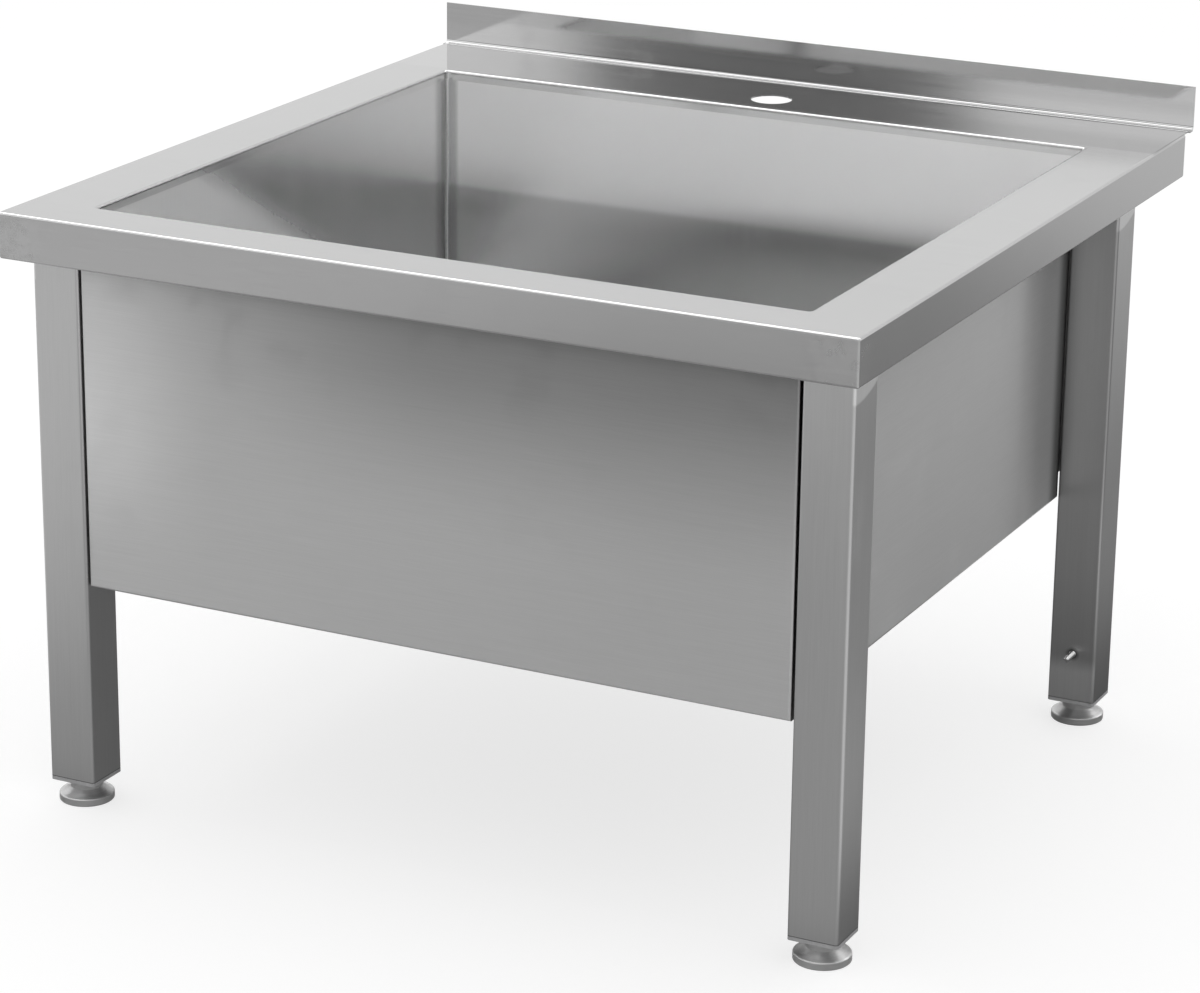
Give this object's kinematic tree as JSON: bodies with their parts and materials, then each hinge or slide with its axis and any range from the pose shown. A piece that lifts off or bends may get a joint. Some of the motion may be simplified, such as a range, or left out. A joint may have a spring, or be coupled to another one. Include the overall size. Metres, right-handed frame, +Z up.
{
  "type": "utility sink",
  "caption": "Low stainless utility sink on square legs: one deep bowl in a folded worktop with a rear upstand and a tap hole, recessed panels and adjustable feet.",
  "frame": {"origin": "on the floor, under the middle of the worktop's outline", "axes": "+Z up, -Y towards the user at the front, +Y towards the upstand at the rear, +X to the user's right"},
  "size_m": [0.7, 0.7, 0.52],
  "materials": {
    "worktop": "satin stainless sheet, grain along the edges",
    "bowl": "satin stainless sheet, upright grain, polished corner seams",
    "weld": "polished weld bead",
    "stiffener": "mill-finish stainless tube",
    "panel": "satin stainless sheet, grain across",
    "leg": "satin stainless square tube, grain along its length",
    "foot": "turned steel, satin",
    "fastener": "bright steel",
    "waste": "polished stainless",
    "insert": "grey moulded plastic",
    "waste_nut": "dark moulded plastic",
    "gasket": "black rubber"
  },
  "bodies": {
    "frame": {"worktop": "worktop", "bowl_front_wall": "bowl", "bowl_rear_wall": "bowl", "bowl_left_wall": "bowl", "bowl_right_wall": "bowl", "bowl_floor": "bowl", "bowl_corner_welds": "weld", "front_stiffener": "stiffener", "left_stiffener": "stiffener", "right_stiffener": "stiffener", "rear_stiffener": "stiffener", "front_panel": "panel", "left_panel": "panel", "right_panel": "panel", "front_panel_rivets": "fastener", "left_panel_rivets": "fastener", "right_panel_rivets": "fastener", "front_left_leg": "leg", "front_left_leg_insert": "insert", "front_right_leg": "leg", "front_right_leg_insert": "insert", "rear_left_leg": "leg", "rear_left_leg_insert": "insert", "rear_right_leg": "leg", "rear_right_leg_insert": "insert", "leg_welds": "weld", "waste_body": "waste", "waste_upper_gasket": "gasket", "waste_lower_gasket": "gasket", "waste_lock_nut": "waste_nut", "earth_stud": "fastener"},
    "front_left_foot": {"front_left_foot": "foot", "front_left_foot_stud": "fastener"},
    "front_right_foot": {"front_right_foot": "foot", "front_right_foot_stud": "fastener"},
    "rear_left_foot": {"rear_left_foot": "foot", "rear_left_foot_stud": "fastener"},
    "rear_right_foot": {"rear_right_foot": "foot", "rear_right_foot_stud": "fastener"},
    "strainer": {"strainer": "waste"}
  },
  "joints": [
    {"name": "front_left_foot_height", "type": "slide", "parent": "frame", "child": "front_left_foot", "axis": [0, 0, -1], "range_m": [-0.0025, 0.025]},
    {"name": "front_right_foot_height", "type": "slide", "parent": "frame", "child": "front_right_foot", "axis": [0, 0, -1], "range_m": [-0.0025, 0.025]},
    {"name": "rear_left_foot_height", "type": "slide", "parent": "frame", "child": "rear_left_foot", "axis": [0, 0, -1], "range_m": [-0.0025, 0.025]},
    {"name": "rear_right_foot_height", "type": "slide", "parent": "frame", "child": "rear_right_foot", "axis": [0, 0, -1], "range_m": [-0.0025, 0.025]},
    {"name": "strainer_lift", "type": "slide", "parent": "frame", "child": "strainer", "axis": [0, 0, 1], "range_m": [0, 0.12]}
  ]
}
